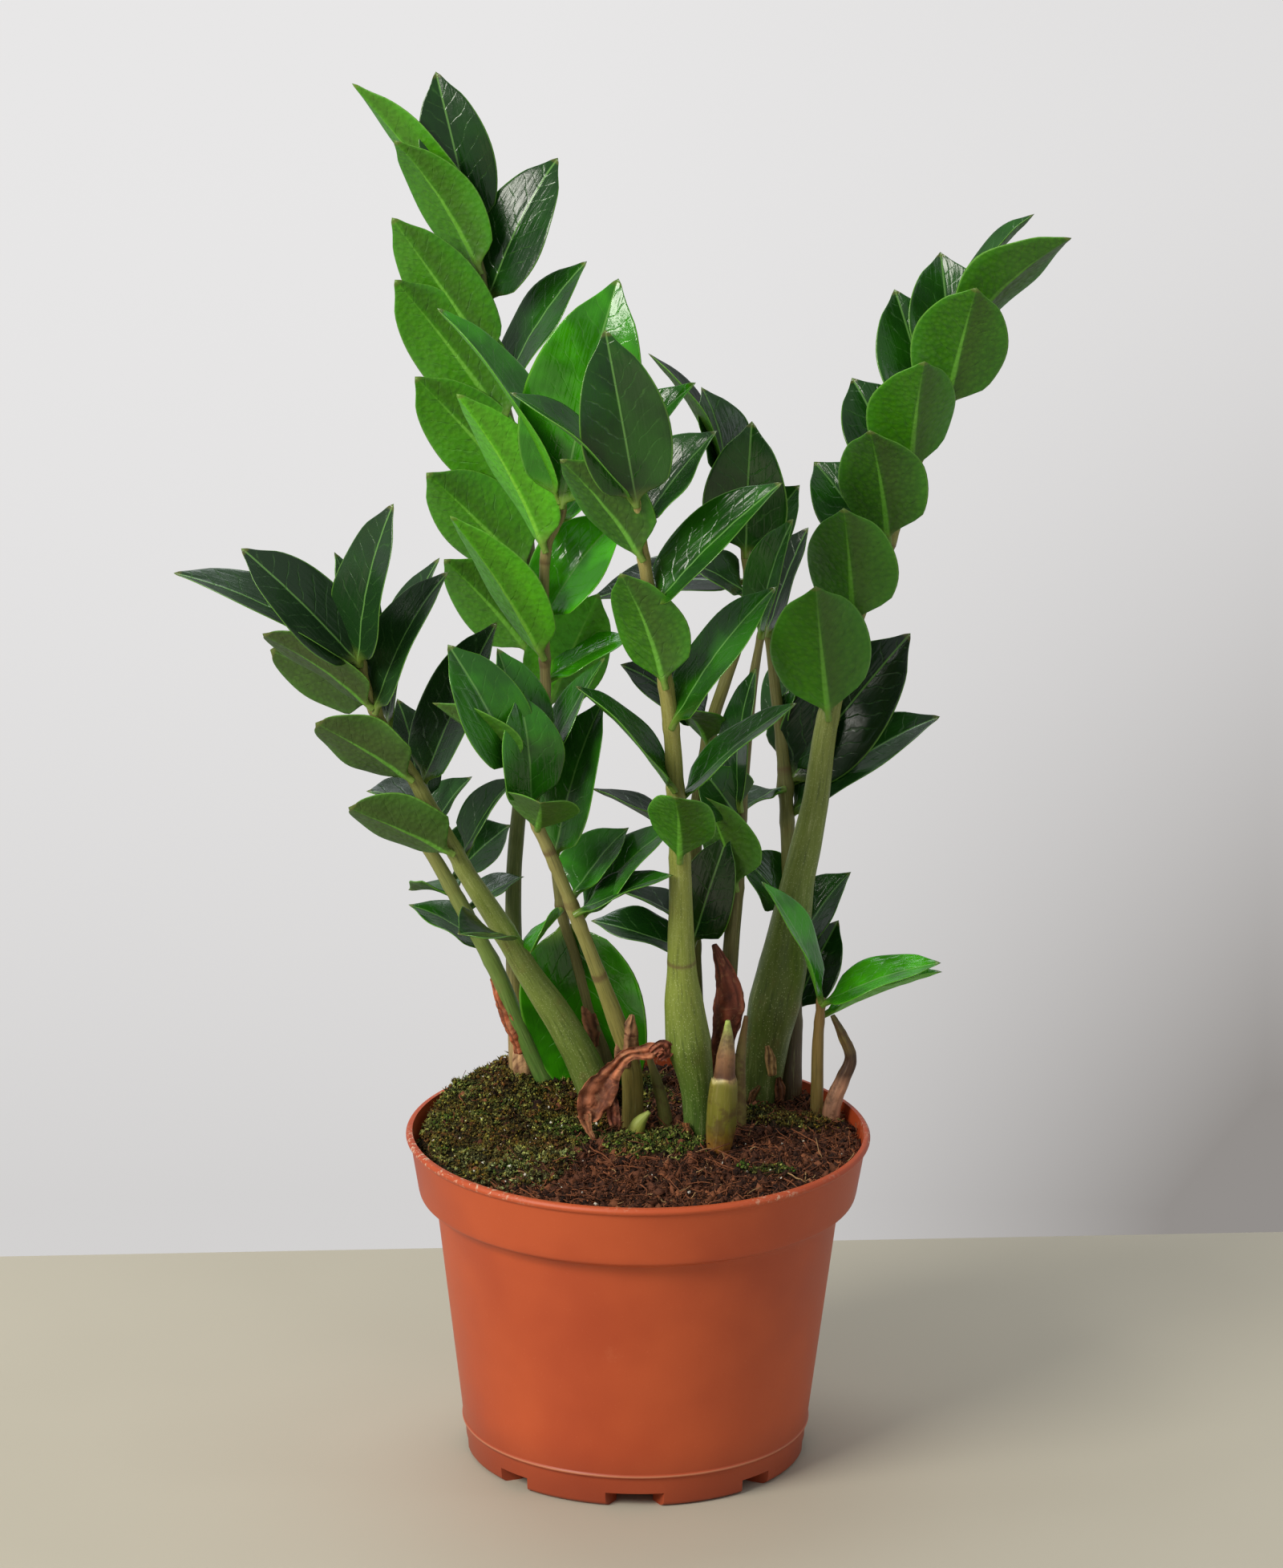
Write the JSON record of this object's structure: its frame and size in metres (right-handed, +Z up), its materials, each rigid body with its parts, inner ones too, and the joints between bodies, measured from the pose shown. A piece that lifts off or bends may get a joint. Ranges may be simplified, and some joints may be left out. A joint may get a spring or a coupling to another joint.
{
  "type": "potted zz plant",
  "caption": "Leafy ZZ plant with thick upright stems and dark oval leaflets, growing in a filled terracotta-coloured nursery pot.",
  "frame": {"origin": "middle of the pot's underside, on the surface it stands on", "axes": "+Z up along the pot's axis; the plant's front faces -Y, so +X is to the right as seen from the front"},
  "size_m": [0.3156, 0.1815, 0.4958],
  "materials": {
    "pot": "satin moulded terracotta-coloured plastic",
    "soil": "rough fibrous peat with moss",
    "leaf": "waxy semi-gloss leaf",
    "stem": "smooth satin stem",
    "dry": "dry papery sheath"
  },
  "bodies": {
    "root": {"pot": "pot", "soil": "soil", "frond_back_left": "leaf", "frond_front_left": "leaf", "frond_centre": "leaf", "frond_right": "leaf", "frond_left": "leaf", "frond_far_left": "leaf", "frond_centre_left": "leaf", "frond_middle": "leaf", "frond_inner": "leaf", "frond_back_right": "leaf", "frond_small_right": "leaf", "sprout_right": "dry", "sprout_front": "stem", "sprout_brown": "dry", "sheath_red_brown": "dry", "shoot_green": "stem", "stub_green": "stem", "sheath_orange": "dry", "dry_leaf": "dry"}
  },
  "joints": []
}
